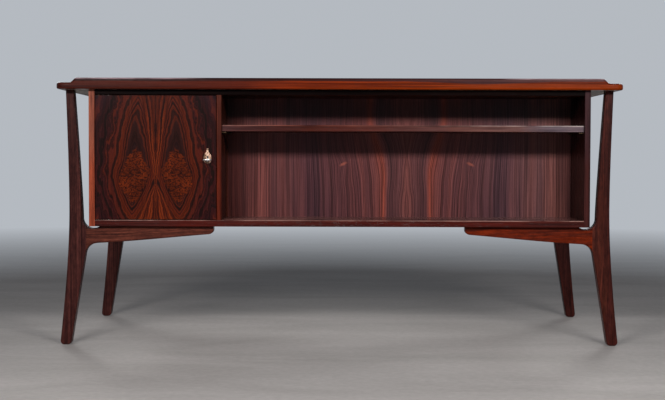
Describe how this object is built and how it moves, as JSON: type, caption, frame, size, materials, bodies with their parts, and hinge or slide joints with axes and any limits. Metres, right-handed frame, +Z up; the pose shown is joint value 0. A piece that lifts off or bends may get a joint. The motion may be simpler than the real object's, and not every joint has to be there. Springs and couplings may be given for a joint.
{
  "type": "writing desk",
  "caption": "Free-standing rosewood writing desk: tapered legs with branching arms carry a bookcase front with a locked bar cabinet, and pedestals of drawers round the knee space.",
  "frame": {"origin": "on the floor under the middle of the top", "axes": "+X to the right seen from the bookcase side, +Y from the bookcase side to the sitter's side, +Z up"},
  "size_m": [1.552, 0.78, 0.738],
  "materials": {
    "rosewood_top": "satin oiled rosewood veneer, grain along the desk",
    "rosewood_edge": "satin solid rosewood",
    "rosewood_frame": "satin solid rosewood",
    "rosewood_carcass": "satin rosewood veneer",
    "rosewood_door": "satin book-matched rosewood veneer",
    "rosewood_back": "satin rosewood veneer, upright grain",
    "rosewood_fronts": "satin rosewood",
    "drawer_lining": "lacquered solid oak",
    "drawer_bottom_ply": "plywood",
    "beech": "planed beech",
    "brass": "worn satin brass",
    "nickel": "worn nickel plate",
    "steel": "zinc-plated steel"
  },
  "bodies": {
    "root": {"top_board": "rosewood_top", "top_gallery_lipping": "rosewood_edge", "top_edging_sitter": "rosewood_edge", "top_edging_left": "rosewood_edge", "top_edging_right": "rosewood_edge", "leg_front_left": "rosewood_frame", "arm_front_left": "rosewood_frame", "leg_front_right": "rosewood_frame", "arm_front_right": "rosewood_frame", "leg_rear_left": "rosewood_frame", "arm_rear_left": "rosewood_frame", "leg_rear_right": "rosewood_frame", "arm_rear_right": "rosewood_frame", "leg_dowels": "beech", "arm_screws": "steel", "top_screws": "steel", "side_panel_left": "rosewood_carcass", "side_panel_right": "rosewood_carcass", "bookcase_bottom": "rosewood_carcass", "bookcase_top": "rosewood_carcass", "pedestal_bottom_left": "rosewood_carcass", "pedestal_bottom_right": "rosewood_carcass", "pedestal_top_left": "rosewood_carcass", "pedestal_top_right": "rosewood_carcass", "cabinet_partition": "rosewood_carcass", "knee_panel_left": "rosewood_carcass", "knee_panel_right": "rosewood_carcass", "bookcase_shelf": "rosewood_carcass", "cabinet_shelf": "rosewood_carcass", "middle_panel": "rosewood_back", "shelf_pins": "brass", "drawer_runners": "beech", "hinge_plates_carcass": "brass", "strike_plate": "brass"},
    "door": {"door_panel": "rosewood_door", "hinge_plates_door": "brass", "lock_case": "steel", "escutcheon": "brass"},
    "lock_bolt": {"lock_bolt": "brass"},
    "key": {"key": "nickel"},
    "drawer_left_lower": {"drawer_left_lower_front": "rosewood_fronts", "drawer_left_lower_box": "drawer_lining", "drawer_left_lower_bottom": "drawer_bottom_ply"},
    "drawer_left_middle": {"drawer_left_middle_front": "rosewood_fronts", "drawer_left_middle_box": "drawer_lining", "drawer_left_middle_bottom": "drawer_bottom_ply"},
    "drawer_left_top": {"drawer_left_top_front": "rosewood_fronts", "drawer_left_top_box": "drawer_lining", "drawer_left_top_bottom": "drawer_bottom_ply"},
    "drawer_right_lower": {"drawer_right_lower_front": "rosewood_fronts", "drawer_right_lower_box": "drawer_lining", "drawer_right_lower_bottom": "drawer_bottom_ply"},
    "drawer_right_middle": {"drawer_right_middle_front": "rosewood_fronts", "drawer_right_middle_box": "drawer_lining", "drawer_right_middle_bottom": "drawer_bottom_ply"},
    "drawer_right_top": {"drawer_right_top_front": "rosewood_fronts", "drawer_right_top_box": "drawer_lining", "drawer_right_top_bottom": "drawer_bottom_ply"}
  },
  "joints": [
    {"name": "door_hinge", "type": "hinge", "parent": "root", "child": "door", "pos_m": [-0.6635, -0.361, 0.52], "axis": [0, 0, -1], "range_deg": [0, 110]},
    {"name": "key_turn", "type": "hinge", "parent": "door", "child": "key", "pos_m": [-0.363, -0.38, 0.514], "axis": [0, 1, 0], "range_deg": [0, 90]},
    {"name": "bolt_slide", "type": "slide", "parent": "door", "child": "lock_bolt", "axis": [1, 0, 0], "range_m": [0, 0.008]},
    {"name": "drawer_left_lower_slide", "type": "slide", "parent": "root", "child": "drawer_left_lower", "axis": [0, 1, 0], "range_m": [0, 0.36]},
    {"name": "drawer_left_middle_slide", "type": "slide", "parent": "root", "child": "drawer_left_middle", "axis": [0, 1, 0], "range_m": [0, 0.36]},
    {"name": "drawer_left_top_slide", "type": "slide", "parent": "root", "child": "drawer_left_top", "axis": [0, 1, 0], "range_m": [0, 0.36]},
    {"name": "drawer_right_lower_slide", "type": "slide", "parent": "root", "child": "drawer_right_lower", "axis": [0, 1, 0], "range_m": [0, 0.36]},
    {"name": "drawer_right_middle_slide", "type": "slide", "parent": "root", "child": "drawer_right_middle", "axis": [0, 1, 0], "range_m": [0, 0.36]},
    {"name": "drawer_right_top_slide", "type": "slide", "parent": "root", "child": "drawer_right_top", "axis": [0, 1, 0], "range_m": [0, 0.36]}
  ],
  "couplings": [
    {"joint": "bolt_slide", "follows": "key_turn", "m_per_rad": 0.005093}
  ]
}
